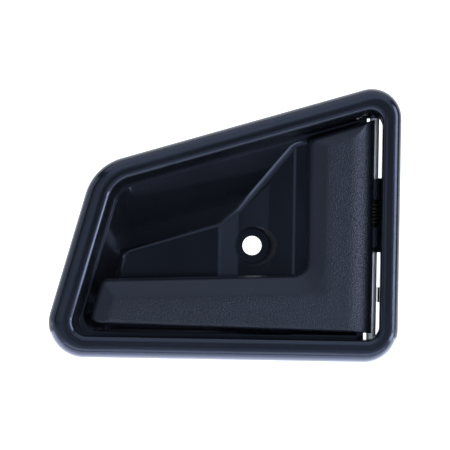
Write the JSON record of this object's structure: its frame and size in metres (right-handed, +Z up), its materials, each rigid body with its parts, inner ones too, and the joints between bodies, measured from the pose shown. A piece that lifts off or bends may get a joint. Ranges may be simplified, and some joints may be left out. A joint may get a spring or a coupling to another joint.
{
  "type": "car interior door handle",
  "caption": "Car interior door release: trapezoid bezel with a finger cup and screw recess, and a sprung L-shaped grained lever hinged on an upright pin.",
  "frame": {"origin": "on the screw axis, on the seat of the screw boss that meets the door panel", "axes": "as installed in the door and seen from the seat: +X right, +Z up, +Y into the door"},
  "size_m": [0.1172, 0.0357, 0.0921],
  "materials": {
    "housing": "satin moulded black",
    "lever": "leather-grained black",
    "pin": "bright plated",
    "spring": "dark drawn wire"
  },
  "bodies": {
    "frame": {"housing": "housing", "hinge_pin": "pin", "return_spring": "spring"},
    "lever": {"lever": "lever"}
  },
  "joints": [
    {"name": "lever_hinge", "type": "hinge", "parent": "frame", "child": "lever", "pos_m": [0.04045, -0.018, 0.0036], "axis": [0, 0, 1], "range_deg": [0, 35], "stiffness_Nm_per_rad": 0.076, "springref_deg": -34.38, "deforming": ["return_spring"]}
  ]
}
